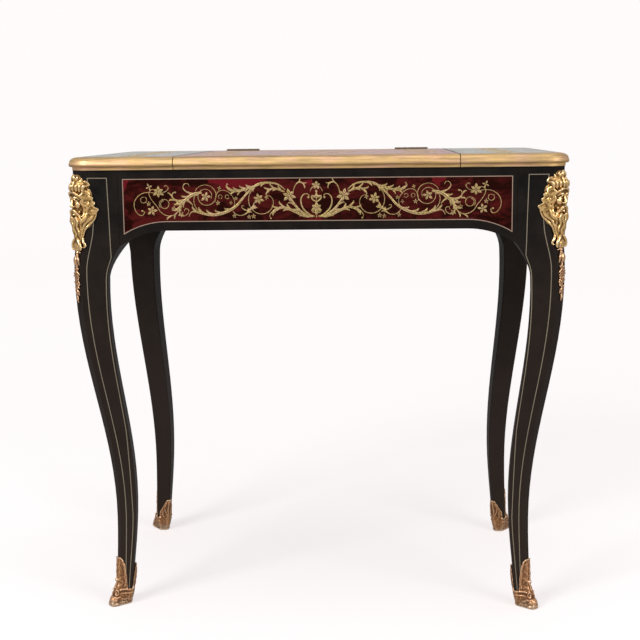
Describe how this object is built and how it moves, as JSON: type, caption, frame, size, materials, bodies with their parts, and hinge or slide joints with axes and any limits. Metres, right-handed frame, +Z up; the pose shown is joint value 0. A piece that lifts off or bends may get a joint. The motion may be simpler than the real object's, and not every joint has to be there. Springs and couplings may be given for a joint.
{
  "type": "writing desk",
  "caption": "Writing and dressing table on cabriole legs, with hinged lids over wells, brass edge, red shell marquetry frieze, gilt masks and shoes.",
  "frame": {"origin": "on the floor under the middle of the table", "axes": "+X to the right seen from the front, +Y towards the back, +Z up"},
  "size_m": [0.7804, 0.5, 0.7453],
  "materials": {
    "ebonised_wood": "black-stained pear wood, waxed, worn brown at the arrises",
    "shell_marquetry": "red-backed turtleshell-look veneer, dark clouds, polished",
    "inlay_brass": "pale brass, satin, let into the ground",
    "edge_brass": "drawn brass moulding, rubbed, brown in its groove",
    "gilt_bronze": "cast and chased, bright gilt with brown in its hollows",
    "shoe_bronze": "cast bronze, worn gilding, coppery brown",
    "hinge_brass": "dull brass",
    "pin_steel": "plain steel wire",
    "gilt_frame": "gilt wood moulding",
    "mirror_glass": "silvered plate",
    "inner_oak": "oiled oak"
  },
  "bodies": {
    "table_frame": {"front_left_leg": "ebonised_wood", "front_right_leg": "ebonised_wood", "back_left_leg": "ebonised_wood", "back_right_leg": "ebonised_wood", "front_apron": "ebonised_wood", "back_apron": "ebonised_wood", "left_apron": "ebonised_wood", "right_apron": "ebonised_wood", "front_panel": "shell_marquetry", "back_panel": "shell_marquetry", "left_panel": "shell_marquetry", "right_panel": "shell_marquetry", "panel_lines": "inlay_brass", "front_scrollwork": "inlay_brass", "back_scrollwork": "inlay_brass", "left_scrollwork": "inlay_brass", "right_scrollwork": "inlay_brass", "leg_lines": "inlay_brass", "front_left_mask": "gilt_bronze", "front_right_mask": "gilt_bronze", "back_left_mask": "gilt_bronze", "back_right_mask": "gilt_bronze", "front_left_drop": "gilt_bronze", "front_right_drop": "gilt_bronze", "back_left_drop": "gilt_bronze", "back_right_drop": "gilt_bronze", "front_left_shoe": "shoe_bronze", "front_right_shoe": "shoe_bronze", "back_left_shoe": "shoe_bronze", "back_right_shoe": "shoe_bronze", "shoe_screws": "shoe_bronze", "bottom_board": "inner_oak", "board_cleats": "inner_oak", "left_partition": "inner_oak", "right_partition": "inner_oak", "rear_strip": "inner_oak", "rear_strip_sheet": "shell_marquetry", "rear_strip_edge": "edge_brass", "fixed_hinge_leaves": "hinge_brass", "hinge_pins": "pin_steel", "fixed_hinge_screws": "hinge_brass"},
    "centre_lid": {"centre_lid_board": "inner_oak", "centre_lid_sheet": "shell_marquetry", "centre_lid_edge": "edge_brass", "mirror_frame": "gilt_frame", "mirror_plate": "mirror_glass", "centre_lid_hinge_leaves": "hinge_brass", "centre_lid_screws": "hinge_brass"},
    "left_lid": {"left_lid_board": "inner_oak", "left_lid_sheet": "shell_marquetry", "left_lid_edge": "edge_brass", "left_lid_hinge_leaves": "hinge_brass", "left_lid_screws": "hinge_brass"},
    "right_lid": {"right_lid_board": "inner_oak", "right_lid_sheet": "shell_marquetry", "right_lid_edge": "edge_brass", "right_lid_hinge_leaves": "hinge_brass", "right_lid_screws": "hinge_brass"}
  },
  "joints": [
    {"name": "centre_lid_hinge", "type": "hinge", "parent": "table_frame", "child": "centre_lid", "pos_m": [0, 0.205, 0.7421], "axis": [-1, 0, 0], "range_deg": [0, 105]},
    {"name": "left_lid_hinge", "type": "hinge", "parent": "table_frame", "child": "left_lid", "pos_m": [-0.387, 0, 0.7219], "axis": [0, -1, 0], "range_deg": [0, 180]},
    {"name": "right_lid_hinge", "type": "hinge", "parent": "table_frame", "child": "right_lid", "pos_m": [0.387, 0, 0.7219], "axis": [0, 1, 0], "range_deg": [0, 180]}
  ]
}
